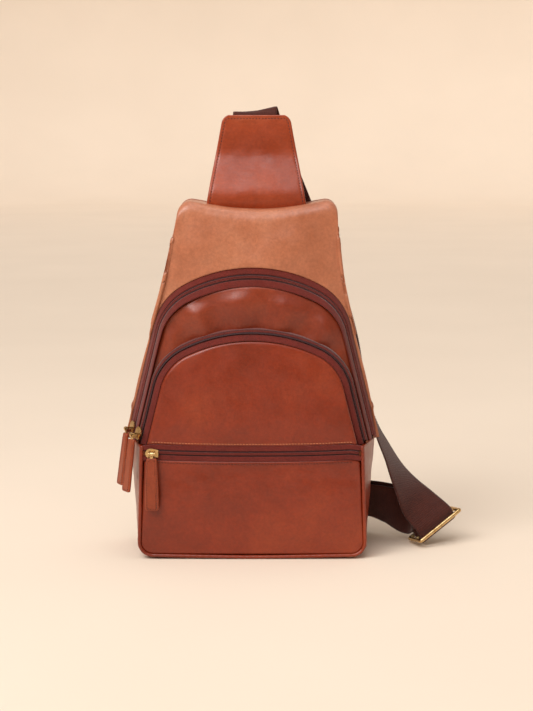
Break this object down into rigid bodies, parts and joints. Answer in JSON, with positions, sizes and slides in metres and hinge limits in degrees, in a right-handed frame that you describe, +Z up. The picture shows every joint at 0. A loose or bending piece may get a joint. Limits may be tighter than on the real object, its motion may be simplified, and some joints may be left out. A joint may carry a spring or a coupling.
{
  "type": "sling bag",
  "caption": "Leather sling bag with two arched zips, a zipped front pocket, leather-tabbed pulls and an adjustable web strap on a stitched top tab.",
  "frame": {"origin": "centre of the flat base the bag stands on", "axes": "+Z up, -Y out of the zipped front, +X to the right of someone facing the front"},
  "size_m": [0.3043, 0.1253, 0.3849],
  "materials": {
    "leather_tan": "soft semi-gloss pull-up leather",
    "leather_dark": "soft semi-gloss pull-up leather",
    "zip_tape": "ribbed polyester tape",
    "zip_coil": "woven-over nylon coil",
    "brass": "satin light gold plating",
    "webbing": "ribbed cotton webbing",
    "lining": "plain woven lining",
    "foam": "closed-cell foam"
  },
  "bodies": {
    "bag": {"back_panel": "leather_tan", "back_foam": "foam", "back_lining": "lining", "yoke": "leather_tan", "rear_side_left": "leather_dark", "rear_side_right": "leather_dark", "base_gusset": "leather_dark", "main_divider": "lining", "middle_panel": "leather_dark", "front_upper_panel": "leather_tan", "pocket_lining": "lining", "front_pocket_panel": "leather_tan", "front_piping": "leather_dark", "outer_tape_rear": "zip_tape", "outer_tape_front": "zip_tape", "outer_coil": "zip_coil", "inner_tape_rear": "zip_tape", "inner_tape_front": "zip_tape", "inner_coil": "zip_coil", "front_tape_upper": "zip_tape", "front_tape_lower": "zip_tape", "front_coil": "zip_coil", "zip_stops": "brass", "strap_tab_front": "leather_tan", "strap_tab_core": "foam", "strap_tab_back": "leather_tan", "strap_web": "webbing", "strap_return": "webbing", "anchor_tab": "leather_dark", "anchor_ring": "brass"},
    "outer_slider_body": {"outer_slider": "brass"},
    "outer_pull_body": {"outer_pull": "brass", "outer_pull_tab": "leather_dark"},
    "inner_slider_body": {"inner_slider": "brass"},
    "inner_pull_body": {"inner_pull": "brass", "inner_pull_tab": "leather_dark"},
    "front_slider_body": {"front_slider": "brass"},
    "front_pull_body": {"front_pull": "brass", "front_pull_tab": "leather_dark"},
    "adjuster": {"adjuster_frame": "brass", "adjuster_bar": "brass"}
  },
  "joints": [
    {"name": "outer_zip_slide", "type": "slide", "parent": "bag", "child": "outer_slider_body", "axis": [0.2411, -0.0812, 0.9671], "range_m": [0, 0.066]},
    {"name": "outer_pull_swing", "type": "hinge", "parent": "outer_slider_body", "child": "outer_pull_body", "pos_m": [-0.10912, -0.0098, 0.10675], "axis": [-0.4445, 0.8958, 0], "range_deg": [0, 100]},
    {"name": "inner_zip_slide", "type": "slide", "parent": "bag", "child": "inner_slider_body", "axis": [0.2417, -0.0396, 0.9695], "range_m": [0, 0.034]},
    {"name": "inner_pull_swing", "type": "hinge", "parent": "inner_slider_body", "child": "inner_pull_body", "pos_m": [-0.10261, -0.03141, 0.10534], "axis": [-0.5565, 0.8308, 0], "range_deg": [0, 100]},
    {"name": "front_zip_slide", "type": "slide", "parent": "bag", "child": "front_slider_body", "axis": [1, 0, 0], "range_m": [0, 0.168]},
    {"name": "front_pull_swing", "type": "hinge", "parent": "front_slider_body", "child": "front_pull_body", "pos_m": [-0.0855, -0.0434, 0.091], "axis": [-1, 0, 0], "range_deg": [0, 100]},
    {"name": "adjuster_tilt", "type": "hinge", "parent": "bag", "child": "adjuster", "pos_m": [0.162, 0.018, 0.0155], "axis": [0.7714, 0.3506, 0.531], "range_deg": [-6, 6]}
  ]
}
